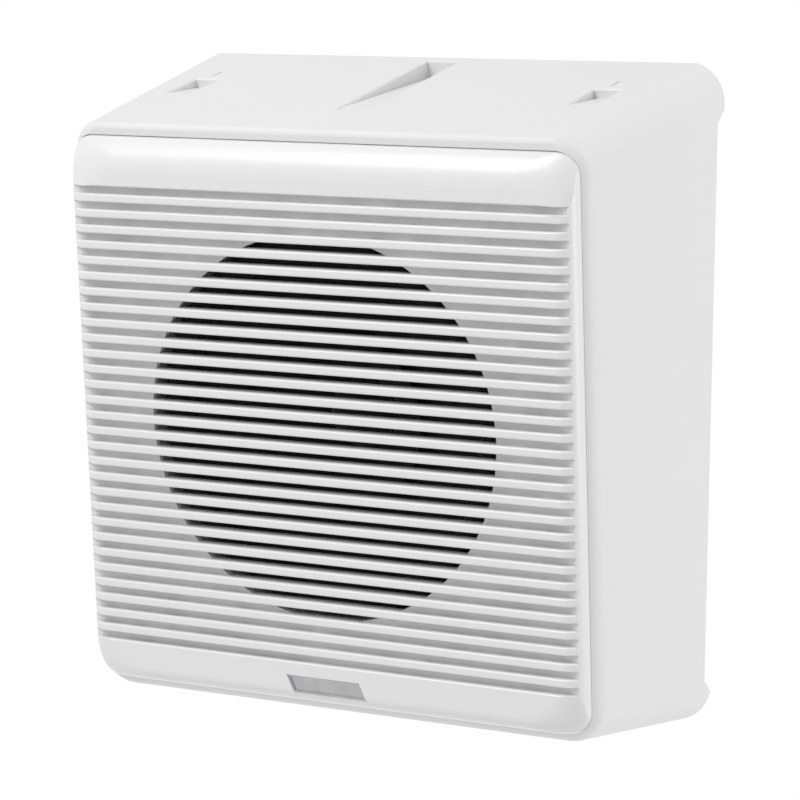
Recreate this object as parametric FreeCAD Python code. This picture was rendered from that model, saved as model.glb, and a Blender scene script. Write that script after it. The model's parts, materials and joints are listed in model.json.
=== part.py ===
import FreeCAD, Part
import math
import os
from FreeCAD import Placement, Rotation, Vector

# Wall speaker: a drafted moulded cabinet that hangs on two screws, a louvred front grille that leans a little
# downwards, a full-range driver behind it, and a line transformer and terminal block on the rear panel.
# Millimetres. +Z is up and the front faces -Y. The origin lies on the rear panel's outer face, midway between
# the two hanging keyholes, and the wall is the plane y = panel_setback.

# Cabinet
rear_width = 233.0
rear_height = 251.2
rear_corner = 15.4
side_rim = 2.1
top_rim = 4.9
bottom_rim = 3.85
front_corner = 14.0
front_reach = 97.5
front_drop = 11.3
front_tilt = 5.26
front_rise = 1.2
rim_level = -3.6
front_round = 9.6
top_round = 3.0
wall = 3.0
top_flat = 0.5
foot_depth = 5.0
top_foot = 20.0
bottom_foot = 15.0
seat_level = -6.6
seat_thickness = 3.0
seat_opening = 88.0

# Pockets in the cabinet's top, measured from its rear edge
hook_width = 13.5
hook_depth = 6.4
hook_length = 74.0
hook_from_rear = 5.5
catch_width = 10.5
catch_depth = 3.6
catch_length = 23.0
catch_from_rear = 40.5
catch_spread = 173.0
slit_width = 1.6
slit_depth = 0.35
slit_length = 7.5
slit_from_rear = 29.0
pocket_wall = 2.2
pocket_lip = 0.5

# Front grille
grille_width = 211.2
grille_height = 211.9
grille_corner = 8.5
face_corner = 20.0
pitch = 6.0
groove_count = 30
groove_width = 2.7
slat_height = 2.7
slat_round = 1.0
slat_crest = 0.06
floor_thickness = 2.2
opening_radius = 73.0
top_roll = 16.0
bottom_roll = 6.0
side_roll = 7.0
roll_steps = 6
groove_end_turn = 46.0
skirt = 3.6
band_wall = 7.2
grille_clearance = 0.1
grille_boss_radius = 4.0
grille_boss_inset = 13.5
boss_play = 0.3

# Badge in the lower band
badge_width = 31.2
badge_height = 6.7
badge_slant = 3.0
badge_drop = 97.0
badge_recess = 1.2
badge_thickness = 0.9
badge_rim = 0.7
badge_rim_height = 0.4
badge_clearance = 0.05

# Driver, stacked backwards from the grille
seal_thickness = 2.0
gasket_thickness = 5.0
ring_outer = 82.0
lip_thickness = 0.7
basket_outer = 83.0
basket_gauge = 1.2
basket_throat = 74.5
basket_wall_run = 1.7
window_margin = 3.6
spider_ledge_outer = 46.0
spider_ledge_inner = 38.0
spider_ledge_depth = 31.5
base_radius = 32.0
base_depth = 8.8
window_count = 6
window_angle = 40.0
driver_screw_circle = 78.0
driver_screw_count = 4
pole_radius = 12.5
air_gap = 0.4
former_wall = 0.3
coil_build = 0.6
coil_length = 9.0
former_length = 28.5
former_tail = 1.0
plate_radius = 36.0
plate_thickness = 5.0
magnet_outer = 40.0
magnet_inner = 18.0
magnet_thickness = 14.0
cone_edge_radius = 62.0
cone_gauge = 0.8
cone_neck_height = 1.5
whizzer_radius = 32.0
whizzer_rise = 15.0
whizzer_gauge = 0.5
whizzer_flare = 1.3
cap_height = 6.0
cap_gauge = 0.6
roll_height = 4.2
surround_gauge = 0.6
ring_bore = 73.0
spider_waves = 4
spider_amplitude = 0.9
spider_gauge = 0.5
glue_gap = 0.05
tag_strip_width = 34.0
tag_strip_height = 10.0
tag_strip_thickness = 1.2
tag_spacing = 27.0
tag_width = 3.0
tag_thickness = 0.5
tag_length = 16.0
lead_radius = 0.8
lead_cone_radius = 42.0
lead_slack = 6.0
lead_run = 8.0

# Rear panel and what it carries
panel_setback = 6.5
panel_thickness = 3.0
panel_clearance = 0.4
panel_boss_radius = 4.5
panel_boss_length = 28.0
panel_boss_inset = 15.0
panel_screw_bite = 10.0
blind_skin = 1.0
keyhole_spacing = 120.0
keyhole_rise = 75.0
keyhole_radius = 4.5
keyhole_slot = 5.0
keyhole_travel = 9.0
cable_hole_radius = 6.0
grommet_bore = 3.6
grommet_flange = 8.5
grommet_lip = 1.6
core_width = 41.0
core_height = 34.0
core_stack = 16.0
core_leg = 7.0
core_centre_leg = 13.0
bobbin_wall = 1.0
winding_margin = 1.0
strap_gauge = 1.0
strap_width = 12.0
foot_reach = 9.0
pad_height = 4.0
pad_radius = 4.0
core_play = 0.05
transformer_x = 68.0
transformer_rise = 73.6
block_ways = 3
block_pitch = 12.0
block_depth = 17.0
block_height = 13.0
block_base = 6.0
insert_radius = 2.6
insert_bore = 1.7
insert_setback = 1.0
tower_gap = 2.0
block_x = -62.0
block_rise = 39.6
plinth_height = 3.0
cable_entry_rise = 67.6

# Screws and wires
screw_radius = 1.75
screw_play = 0.05
screw_hole = 2.2
head_radius = 3.5
head_height = 2.2
small_screw_radius = 1.4
small_hole = 1.7
small_head_radius = 2.6
small_head_height = 1.6
screw_bite = 5.0
head_crown = 0.6
cross_reach = 0.55
cross_width = 0.12
cross_floor = 0.45
slot_width = 0.6
slot_depth = 0.6
wire_radius = 0.9
wire_gap = 0.3
wire_bend = 10.0

# The cabinet's front outline stands a rim's width outside the grille
front_width = grille_width + 2 * side_rim
front_height = grille_height + top_rim + bottom_rim
front_shift = (top_rim - bottom_rim) / 2

# What the rear panel carries, as drops below the rear's centre
transformer_drop = rear_height / 2 - transformer_rise
block_drop = rear_height / 2 - block_rise
cable_entry_drop = rear_height / 2 - cable_entry_rise

# Levels along the driver axis, from the groove floor backwards
slat_face = slat_height
grille_back = -floor_thickness
seal_back = grille_back - seal_thickness
gasket_back = seal_back - gasket_thickness
lip_back = gasket_back - lip_thickness
flange_back = lip_back - basket_gauge
ledge_level = flange_back - spider_ledge_depth
base_level = ledge_level - base_depth
plate_front = base_level - basket_gauge
magnet_front = plate_front - plate_thickness
yoke_front = magnet_front - magnet_thickness
yoke_back = yoke_front - plate_thickness
former_inner = pole_radius + air_gap
former_outer = former_inner + former_wall
coil_inner = former_outer + glue_gap
coil_outer = coil_inner + coil_build
plate_bore = coil_outer + air_gap
coil_centre = plate_front - plate_thickness / 2
coil_back = coil_centre - coil_length / 2
former_back = coil_back - former_tail
former_front = former_back + former_length
neck_inner = former_outer + glue_gap
neck_front = former_front - 2 * cone_neck_height
neck_back = neck_front - cone_neck_height
cone_edge_level = gasket_back - cone_gauge
seat_back = seat_level - seat_thickness
panel_inner = panel_setback + panel_thickness

# Frames: WALL has x to the right, y up and z out of the wall from the rear's centre; FRONT has x to the
# right, y up along the grille and z out of it, from the middle of the groove floor; DRIVER is FRONT on the
# driver's axis; TOP has y towards the wall along the cabinet's top and z out of it, from its rear edge.
WALL = Placement(Vector(0, panel_setback, -keyhole_rise), Rotation(Vector(1, 0, 0), 90))
FRONT = WALL.multiply(
    Placement(Vector(0, -front_drop, front_reach), Rotation(Vector(1, 0, 0), front_tilt))
)
DRIVER = FRONT.multiply(Placement(Vector(0, front_rise, 0), Rotation()))
rear_top = WALL.multVec(Vector(0, rear_height / 2, 0))
front_top = DRIVER.multVec(Vector(0, front_shift + front_height / 2, rim_level))
top_slope = math.degrees(math.atan2(rear_top.z - front_top.z, rear_top.y - front_top.y))
TOP = Placement(rear_top, Rotation(Vector(1, 0, 0), top_slope))


def placed(shape, frame):
    """The shape, drawn in a frame's own axes, moved into the speaker's frame."""
    moved = shape.copy()
    moved.Placement = frame.multiply(moved.Placement)
    return moved


def line(a, b):
    return Part.LineSegment(a, b).toShape()


def rounded_rectangle(width, height, corner, level=0.0):
    """A closed outline in the XY plane, centred, with quarter-circle corners."""
    edges = []
    last = first = None
    for quarter in range(4):
        turn = math.radians(90 * quarter)
        side_x = 1 if quarter in (0, 3) else -1
        side_y = 1 if quarter in (0, 1) else -1
        centre = Vector(side_x * (width / 2 - corner), side_y * (height / 2 - corner), level)
        arc = [
            centre + Vector(corner * math.cos(turn + step), corner * math.sin(turn + step), 0)
            for step in (0, math.pi / 4, math.pi / 2)
        ]
        if last is None:
            first = arc[0]
        else:
            edges.append(line(last, arc[0]))
        edges.append(Part.Arc(*arc).toShape())
        last = arc[2]
    edges.append(line(last, first))
    return Part.Wire(edges)


def slab(outline, low, high):
    """A flat outline drawn at level 0, given thickness from one level to another."""
    solid = Part.Face(outline).extrude(Vector(0, 0, high - low))
    solid.translate(Vector(0, 0, low))
    return solid


def polygon(points):
    return Part.makePolygon(points + [points[0]])


def box(x0, x1, y0, y1, z0, z1):
    return Part.makeBox(x1 - x0, y1 - y0, z1 - z0, Vector(x0, y0, z0))


def cylinder(radius, x, y, low, high):
    return Part.makeCylinder(radius, high - low, Vector(x, y, low))


def ring(outer, inner, low, high):
    return cylinder(outer, 0, 0, low, high).cut(cylinder(inner, 0, 0, low, high))


def turned(points):
    """A closed (radius, level) profile turned once round the Z axis."""
    face = Part.Face(polygon([Vector(r, 0, n) for r, n in points]))
    return face.revolve(Vector(0, 0, 0), Vector(0, 0, 1), 360)


def sheet_profile(path, gauge):
    """A (radius, level) path thickened straight backwards, as pressed paper or cloth is."""
    return path + [(r, n - gauge) for r, n in reversed(path)]


def circle_points(radius, count, start):
    return [
        (radius * math.cos(math.radians(start + 360 * i / count)),
         radius * math.sin(math.radians(start + 360 * i / count)))
        for i in range(count)
    ]


def corners(half_width, half_height):
    return [(sx * half_width, sy * half_height) for sx in (-1, 1) for sy in (-1, 1)]


def fuse_all(shapes):
    return shapes[0].multiFuse(shapes[1:]).removeSplitter()


def export(name, shape, frame=None):
    """Writes one node; a list of shapes becomes a group of separate solids."""
    if isinstance(shape, list):
        shape = Part.makeCompound(shape)
    if frame is not None:
        shape = placed(shape, frame)
    shape.exportStep(os.path.join("parts", name + ".step"))


def screw(x, y, seat, tip, radius, head_r, head_h):
    """A pan-head screw along Z: head outside the seat, shank from the seat to the tip, cross recess."""
    out = 1 if seat > tip else -1
    head_low, head_high = sorted((seat, seat + out * head_h))
    shank_low, shank_high = sorted((seat, tip))
    head = cylinder(head_r, x, y, head_low, head_high)
    crown = [e for e in head.Edges if abs(e.CenterOfMass.z - seat - out * head_h) < 1e-6]
    head = head.makeFillet(head_h * head_crown, crown)
    body = head.fuse(cylinder(radius, x, y, shank_low, shank_high))
    arm = head_r * cross_reach
    slot = head_r * cross_width
    cut_low, cut_high = sorted((seat + out * head_h * cross_floor, seat + out * head_h * 2))
    cross = box(x - arm, x + arm, y - slot, y + slot, cut_low, cut_high).fuse(
        box(x - slot, x + slot, y - arm, y + arm, cut_low, cut_high)
    )
    return body.cut(cross).removeSplitter()


def routed_tube(points, radius):
    """A wire of round section along straight runs joined by arcs as large as the runs allow."""
    edges = []
    start = points[0]
    for before, corner, after in zip(points, points[1:], points[2:]):
        back = (before - corner).normalize()
        ahead = (after - corner).normalize()
        half_turn = (math.pi - back.getAngle(ahead)) / 2
        reach = 0.45 * min((before - corner).Length, (after - corner).Length)
        bend = reach / math.tan(half_turn)
        middle = (back + ahead).normalize()
        dip = bend / math.cos(half_turn) - bend
        edges.append(line(start, corner + back * reach))
        edges.append(Part.Arc(corner + back * reach, corner + middle * dip, corner + ahead * reach).toShape())
        start = corner + ahead * reach
    edges.append(line(start, points[-1]))
    section = Part.Wire(Part.makeCircle(radius, points[0], points[1] - points[0]))
    return Part.Wire(edges).makePipeShell([section], True, False)


def cabinet_form(inset, rear_out):
    """The drafted outer form, or with an inset the hollow inside it: the rear and front outlines ruled."""
    rear = rounded_rectangle(
        rear_width - 2 * inset, rear_height - 2 * inset, rear_corner - inset, rear_out
    )
    front = rounded_rectangle(
        front_width - 2 * inset, front_height - 2 * inset, front_corner - inset, rim_level
    )
    rear.Placement = WALL
    front.Placement = DRIVER.multiply(Placement(Vector(0, front_shift, 0), Rotation()))
    return Part.makeLoft([rear, front], True, True)


def on_rim(point):
    return abs(DRIVER.inverse().multVec(point).z - rim_level) < 1e-4


def rim_round(point):
    """Radius of the front edge's rounding at a corner of the rim: small along the top, large elsewhere."""
    top_run = front_shift + front_height / 2 - front_corner / 2
    return top_round if DRIVER.inverse().multVec(point).y > top_run else front_round


def rounded_rim(form):
    """The form with its front edge rounded, the rounding swelling round the two upper corners."""
    document = FreeCAD.newDocument("rim")
    base = document.addObject("Part::Feature", "base")
    base.Shape = form
    rounding = document.addObject("Part::Fillet", "rounding")
    rounding.Base = base
    rounding.Edges = [
        (number, rim_round(edge.firstVertex().Point), rim_round(edge.lastVertex().Point))
        for number, edge in enumerate(base.Shape.Edges, 1)
        if all(on_rim(v.Point) for v in edge.Vertexes)
    ]
    document.recompute()
    rounded = rounding.Shape.copy()
    FreeCAD.closeDocument(document.Name)
    return rounded


def front_half(level):
    """Everything in front of a level of the grille's frame."""
    span = rear_height
    return placed(box(-span, span, -span, span, level, level + span), FRONT)


def top_pocket(width, depth, length, from_rear, x, grow):
    """A ramp cut into the top: no depth at its front, full depth at its back wall; grow makes its housing."""
    lid = 0 if grow else depth
    run_out = length * grow / depth
    profile = polygon([
        Vector(x - width / 2 - grow, -from_rear + grow, lid),
        Vector(x - width / 2 - grow, -from_rear + grow, -depth - top_flat - grow),
        Vector(x - width / 2 - grow, -from_rear - length - run_out, -top_flat),
        Vector(x - width / 2 - grow, -from_rear - length - run_out, lid),
    ])
    return placed(Part.Face(profile).extrude(Vector(width + 2 * grow, 0, 0)), TOP)


def pocket_sizes():
    """Width, depth, length, distance from the rear and place of the hook pocket and the two catch pockets."""
    catch = (catch_width, catch_depth, catch_length, catch_from_rear)
    hook = (hook_width, hook_depth, hook_length, hook_from_rear)
    return [(*hook, 0), (*catch, -catch_spread / 2), (*catch, catch_spread / 2)]


def pocket_bevel(width, depth, length, from_rear, x):
    """The bevel round a pocket's mouth: along its back, and along its sides while the ramp is deep enough."""
    front = -from_rear - length * (1 - pocket_lip / depth)
    outlines = []
    for level in (-pocket_lip, pocket_lip):
        grow = level + pocket_lip
        side = width / 2 + grow
        back = -from_rear + grow
        outlines.append(polygon([
            Vector(x - side, front, level - top_flat), Vector(x + side, front, level - top_flat),
            Vector(x + side, back, level - top_flat), Vector(x - side, back, level - top_flat),
        ]))
    return placed(Part.makeLoft(outlines, True, True), TOP)


def panel_screw_points():
    return corners(rear_width / 2 - panel_boss_inset, rear_height / 2 - panel_boss_inset)


def grille_screw_points():
    return corners(grille_width / 2 - grille_boss_inset, grille_height / 2 - grille_boss_inset)


def cabinet():
    """The moulded shell: open rear, seat wall for the grille, corner bosses, pockets and rear feet."""
    outer = rounded_rim(cabinet_form(0, 0))
    inner = cabinet_form(wall, -wall).cut(front_half(seat_back))

    bosses = []
    boss_end = panel_inner + panel_boss_length
    for x, y in panel_screw_points():
        side_x = math.copysign(1, x)
        side_y = math.copysign(1, y)
        bosses.append(cylinder(panel_boss_radius, x, y, panel_inner, boss_end))
        web_x = sorted((x, x + side_x * panel_boss_inset))
        web_y = sorted((y, y + side_y * panel_boss_inset))
        half = wall / 2
        bosses.append(box(web_x[0], web_x[1], y - half, y + half, panel_inner, boss_end))
        bosses.append(box(x - half, x + half, web_y[0], web_y[1], panel_inner, boss_end))
    bosses = placed(fuse_all(bosses), WALL)
    pocket_walls = [top_pocket(*sizes, pocket_wall) for sizes in pocket_sizes()]
    housings = fuse_all([bosses] + pocket_walls).common(outer)

    shell = outer.cut(inner).fuse(housings)

    span = rear_width
    tools = [top_pocket(*sizes, 0) for sizes in pocket_sizes()]
    tools += [pocket_bevel(*sizes) for sizes in pocket_sizes()]
    tools.append(placed(box(-span, span, -span, wall, -top_flat, span), TOP))
    for side in (-1, 1):
        x = side * catch_spread / 2
        tools.append(placed(
            box(x - slit_width / 2, x + slit_width / 2, -slit_from_rear - slit_length, -slit_from_rear,
                -top_flat - slit_depth, 0), TOP))
    relief = polygon([
        Vector(-span, -rear_height / 2 + bottom_foot - foot_depth / 2, 0),
        Vector(-span, -rear_height / 2 + bottom_foot + foot_depth / 2, foot_depth),
        Vector(-span, rear_height / 2 - top_foot - foot_depth / 2, foot_depth),
        Vector(-span, rear_height / 2 - top_foot + foot_depth / 2, 0),
    ])
    tools.append(placed(Part.Face(relief).extrude(Vector(2 * span, 0, 0)), WALL))
    pocket = rounded_rectangle(
        grille_width + 2 * grille_clearance, grille_height + 2 * grille_clearance,
        grille_corner + grille_clearance
    )
    tools.append(placed(slab(pocket, seat_level, seat_level + front_round), DRIVER))
    tools.append(placed(cylinder(seat_opening, 0, 0, seat_back - wall, seat_level + wall), DRIVER))
    for x, y in grille_screw_points():
        tools.append(placed(cylinder(screw_hole, x, y, seat_back - wall, seat_level + wall), DRIVER))
    for x, y in panel_screw_points():
        depth = panel_inner + panel_boss_length - wall
        tools.append(placed(cylinder(screw_radius + screw_play, x, y, panel_inner - wall, depth), WALL))
    return shell.cut(Part.makeCompound(tools)).removeSplitter()


def roll_outline(turn):
    """The panel's outline at one turn of its rolled edge: 0 at the side walls, a quarter turn at the face."""
    shoulder = slat_face - side_roll
    level = shoulder + side_roll * math.sin(turn)
    side_in = side_roll * (1 - math.cos(turn))
    bottom_in = bottom_roll * (1 - math.cos(turn))
    top_reach = math.sqrt(top_roll**2 - (top_roll - side_roll)**2)
    top_in = top_reach - math.sqrt(top_roll**2 - (top_roll - slat_face + level)**2)
    corner = grille_corner + (face_corner - grille_corner) * math.sin(turn)
    outline = rounded_rectangle(
        grille_width - 2 * side_in, grille_height - top_in - bottom_in, corner, level)
    outline.translate(Vector(0, (bottom_in - top_in) / 2, 0))
    return outline


def grille_form():
    """The panel's outer form: upright walls, then rolled edges lofted through outlines that draw in."""
    quarter = math.pi / 2
    roll = Part.makeLoft([roll_outline(quarter * i / roll_steps) for i in range(roll_steps + 1)], True, False)
    outline = rounded_rectangle(grille_width, grille_height, grille_corner)
    walls = slab(outline, seat_level, slat_face - side_roll)
    return walls.fuse(roll)


def groove_positions():
    """Heights of the groove centre lines above the driver's axis."""
    return [((groove_count - 1) / 2 - i) * pitch - front_rise for i in range(groove_count)]


def groove_cutter(v):
    """One groove: flat floor and upright walls, with slat edges whose rounding follows the rolled sides."""
    half = groove_width / 2
    low = slat_face + slat_crest - slat_round
    high = slat_face + slat_crest
    clear = high + slat_round
    diagonal = slat_round * (1 - math.sqrt(0.5))
    run = grille_width / 2 - side_roll

    def at(offset, n):
        return Vector(run, v + offset, n)

    mouth = Part.Face(Part.Wire([
        line(at(-half, low), at(half, low)),
        Part.Arc(at(half, low), at(half + diagonal, high - diagonal), at(half + slat_round, high)).toShape(),
        line(at(half + slat_round, high), at(half + slat_round, clear)),
        line(at(half + slat_round, clear), at(-half - slat_round, clear)),
        line(at(-half - slat_round, clear), at(-half - slat_round, high)),
        Part.Arc(at(-half - slat_round, high), at(-half - diagonal, high - diagonal), at(-half, low)).toShape(),
    ]))
    straight = mouth.extrude(Vector(-2 * run, 0, 0))
    pivot = Vector(run, v, slat_face - side_roll)
    right_end = mouth.revolve(pivot, Vector(0, 1, 0), groove_end_turn)
    left_end = right_end.mirror(Vector(0, 0, 0), Vector(1, 0, 0))
    channel = box(-grille_width / 2, grille_width / 2, v - half, v + half, 0, clear)
    return channel.multiFuse([straight, right_end, left_end])


def badge_outline(inset):
    """The badge's slanted outline, its lower edge shifted to the right."""
    half_w = badge_width / 2 - inset
    half_h = badge_height / 2 - inset
    shift = badge_slant / 2 * half_h / (badge_height / 2)
    return polygon([
        Vector(-half_w - shift, -badge_drop - front_rise + half_h, 0),
        Vector(half_w - shift, -badge_drop - front_rise + half_h, 0),
        Vector(half_w + shift, -badge_drop - front_rise - half_h, 0),
        Vector(-half_w + shift, -badge_drop - front_rise - half_h, 0),
    ])


def driver_screw_points():
    return circle_points(driver_screw_circle, driver_screw_count, 45)


def front_grille():
    """The louvred panel: rolled edges, grooves, slots over the sound opening, hollow back and screw bosses."""
    panel = grille_form()
    panel = panel.cut(Part.makeCompound([groove_cutter(v) for v in groove_positions()]))
    hollow = slab(
        rounded_rectangle(grille_width - 2 * skirt, grille_height - 2 * band_wall, grille_corner),
        seat_level - wall, grille_back)
    pillars = [cylinder(grille_boss_radius, x, y, seat_level, grille_back) for x, y in grille_screw_points()]
    pillars += [cylinder(grille_boss_radius, x, y, gasket_back, grille_back) for x, y in driver_screw_points()]
    panel = panel.cut(hollow).fuse(pillars)

    tools = [slab(badge_outline(0), slat_face - badge_recess, slat_face + wall)]
    mouth = cylinder(opening_radius, 0, 0, grille_back - wall, 0)
    for v in groove_positions():
        if abs(v) < opening_radius:
            strip = box(-grille_width / 2, grille_width / 2, v - groove_width / 2, v + groove_width / 2,
                        grille_back - wall, 0)
            tools.append(strip.common(mouth))
    pilot = screw_radius + screw_play
    for x, y in grille_screw_points():
        tools.append(cylinder(pilot, x, y, seat_level - wall, grille_back + floor_thickness / 2))
    for x, y in driver_screw_points():
        tools.append(cylinder(pilot, x, y, gasket_back - wall, grille_back))
    return panel.cut(Part.makeCompound(tools)).removeSplitter()


def badge():
    """A blank plate in the grille's recess, with a raised rim."""
    low = slat_face - badge_recess
    plate = slab(badge_outline(badge_clearance), low, low + badge_thickness)
    field = badge_outline(badge_clearance + badge_rim)
    return plate.cut(slab(field, low + badge_thickness - badge_rim_height, slat_face))


def clamp_ring(back, front):
    """A ring clamped under the driver's flange, with holes for the grille's bosses."""
    body = ring(ring_outer, ring_bore, back, front)
    holes = [cylinder(grille_boss_radius + boss_play, x, y, back, front) for x, y in driver_screw_points()]
    return body.cut(Part.makeCompound(holes))


def driver_basket():
    """The pressed steel frame: flange, sloping wall with windows, spider ledge and base."""
    slope = basket_wall_run
    frame = turned([
        (basket_outer, lip_back), (basket_outer, flange_back), (basket_throat, flange_back),
        (spider_ledge_outer + slope, ledge_level - basket_gauge),
        (spider_ledge_inner, ledge_level - basket_gauge),
        (base_radius + slope, base_level - basket_gauge), (magnet_inner, base_level - basket_gauge),
        (magnet_inner, base_level), (base_radius, base_level), (spider_ledge_inner - slope, ledge_level),
        (spider_ledge_outer, ledge_level), (basket_throat - slope, flange_back + basket_gauge),
    ])
    top = flange_back - window_margin
    low = ledge_level + window_margin
    sector = turned([(spider_ledge_outer - wall, low), (basket_outer, low), (basket_outer, top),
                     (spider_ledge_outer - wall, top)])
    keep = (360 / window_count - window_angle) / 2
    reach = basket_outer * 2
    tools = []
    for i in range(window_count):
        start = math.radians(i * 360 / window_count + keep)
        end = start + math.radians(window_angle)
        wedge = polygon([
            Vector(0, 0, low),
            Vector(reach * math.cos(start), reach * math.sin(start), low),
            Vector(reach * math.cos(end), reach * math.sin(end), low),
        ])
        tools.append(Part.Face(wedge).extrude(Vector(0, 0, top - low)).common(sector))
    tools += [cylinder(screw_hole, x, y, flange_back, lip_back) for x, y in driver_screw_points()]
    return frame.cut(Part.makeCompound(tools)).removeSplitter()


def cone_level(radius):
    """Front surface of the cone at a radius: straight from the neck to the edge."""
    share = (radius - neck_inner) / (cone_edge_radius - neck_inner)
    return neck_front + share * (cone_edge_level - neck_front)


def cone():
    """The paper cone with the collar that is glued to the coil former."""
    return turned([
        (neck_inner, neck_front), (cone_edge_radius, cone_edge_level),
        (cone_edge_radius, cone_edge_level - cone_gauge),
        (neck_inner + cone_gauge, neck_front - 2 * cone_gauge),
        (neck_inner + cone_gauge, neck_back), (neck_inner, neck_back),
    ])


def surround():
    """The half-roll edge: clamped outer lip, roll towards the front, inner lip on the cone's edge."""
    middle = (ring_bore + cone_edge_radius) / 2
    half = (ring_bore - cone_edge_radius) / 2 - surround_gauge
    inner_lip = cone_edge_radius - 2 * surround_gauge
    turns = [math.pi * i / 8 for i in range(9)]

    def roll(half_width, level):
        return [(middle + half_width * math.cos(t), level + roll_height * math.sin(t)) for t in turns]

    front = [(ring_outer, gasket_back)] + roll(half, gasket_back) + [(inner_lip, gasket_back)]
    back = [(ring_outer, lip_back)] + roll(half - surround_gauge, lip_back)
    back.append((inner_lip, gasket_back - surround_gauge))
    body = turned(front + back[::-1])
    holes = [cylinder(screw_hole, x, y, lip_back, gasket_back) for x, y in driver_screw_points()]
    return body.cut(Part.makeCompound(holes))


def spider():
    """The corrugated centring disc, from the basket's ledge to a collar round the coil former."""
    start = former_outer + air_gap
    end = spider_ledge_inner
    steps = 6 * spider_waves
    middle = ledge_level + spider_gauge + spider_amplitude
    path = [(start, middle)]
    for i in range(1, steps):
        radius = start + (end - start) * i / steps
        path.append((radius, middle - spider_amplitude * math.sin(math.pi * 2 * spider_waves * i / steps)))
    path.append((end, ledge_level + spider_gauge))
    path.append((spider_ledge_outer - basket_gauge, ledge_level + spider_gauge))
    return turned(sheet_profile(path, spider_gauge))


def whizzer_cone():
    """The small flared cone in front of the main one, on the same former."""
    base = neck_front + cone_neck_height
    lip = base + whizzer_rise
    steps = 6
    throat = neck_inner + cone_gauge
    path = []
    for i in range(steps + 1):
        share = i / steps
        path.append((throat + (whizzer_radius - throat) * share**whizzer_flare, base + whizzer_rise * share))
    collar = [(neck_inner, base), (neck_inner, base - cone_neck_height / 2)]
    back = [(r + whizzer_gauge, n) for r, n in reversed(path)]
    foot = [(throat + whizzer_gauge, base - cone_neck_height / 2)]
    profile = path + [(whizzer_radius + whizzer_gauge, lip)] + back[1:] + foot + list(reversed(collar))
    return turned(profile)


def dust_cap():
    """A domed cap whose flat rim sits on the end of the coil former."""
    rim = former_outer
    rise = cap_height
    sphere = (rim**2 + rise**2) / (2 * rise)
    steps = 6
    spread = math.asin(rim / sphere)
    path = [(sphere * math.sin(spread * i / steps),
             former_front + cap_gauge + rise - sphere + sphere * math.cos(spread * i / steps))
            for i in range(steps + 1)]
    return turned(sheet_profile(path, cap_gauge))


def pole_piece():
    """The rear plate and the centre pole, one turned piece of steel."""
    return turned([
        (0, plate_front), (pole_radius, plate_front), (pole_radius, yoke_front),
        (plate_radius, yoke_front), (plate_radius, yoke_back), (0, yoke_back),
    ])


# The tag strip's own frame lies on the basket's sloping wall, at the middle of the spoke on the right
wall_front = Vector(basket_throat, 0, flange_back)
wall_back = Vector(spider_ledge_outer + basket_wall_run, 0, ledge_level - basket_gauge)
wall_pitch = math.degrees(math.atan2(wall_front.z - wall_back.z, wall_front.x - wall_back.x))
STRIP = DRIVER.multiply(
    Placement((wall_front + wall_back) / 2, Rotation(Vector(0, 1, 0), 180 - wall_pitch)).multiply(
        Placement(Vector(0, 0, glue_gap), Rotation()))
)


def tag_strip():
    """The insulating board that carries the solder tags."""
    half_h = tag_strip_height / 2
    half_w = tag_strip_width / 2
    return box(-half_h, half_h, -half_w, half_w, 0, tag_strip_thickness)


def solder_tags():
    """Two flat tags across the board."""
    low = tag_strip_thickness
    return [
        box(-tag_length / 2, tag_length / 2, side * tag_spacing / 2 - tag_width / 2,
            side * tag_spacing / 2 + tag_width / 2, low, low + tag_thickness)
        for side in (-1, 1)
    ]


def braided_leads():
    """The two flexible leads, from a tag's front end through a window to the cone's back, hanging slack."""
    to_driver = DRIVER.inverse()
    leads = []
    for side in (-1, 1):
        tag_end = to_driver.multVec(STRIP.multVec(Vector(
            -tag_length / 2 - lead_radius - wire_gap, side * tag_spacing / 2, tag_strip_thickness)))
        across = math.sqrt(lead_cone_radius**2 - tag_end.y**2)
        cone_end = Vector(across, tag_end.y, cone_level(lead_cone_radius) - 2 * cone_gauge - lead_radius)
        inside = tag_end - Vector(lead_run, 0, 0)
        leads.append(routed_tube([
            tag_end, inside, (inside + cone_end) / 2 - Vector(0, 0, lead_slack), cone_end], lead_radius))
    return leads


def keyhole(x):
    """A hanging keyhole: round entry for the screw's head, slot upwards for its shank."""
    low = panel_setback - wall
    high = panel_inner + wall
    entry = cylinder(keyhole_radius, x, keyhole_rise, low, high)
    top = keyhole_rise + keyhole_travel
    slot = box(x - keyhole_slot / 2, x + keyhole_slot / 2, keyhole_rise, top, low, high)
    end = cylinder(keyhole_slot / 2, x, top, low, high)
    return entry.fuse([slot, end])


def transformer_feet():
    offset = core_width / 2 + strap_gauge + foot_reach / 2
    return [(transformer_x + side * offset, -transformer_drop) for side in (-1, 1)]


def block_fixings():
    return [(block_x + side * block_pitch / 2, -block_drop) for side in (-1, 1)]


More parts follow.
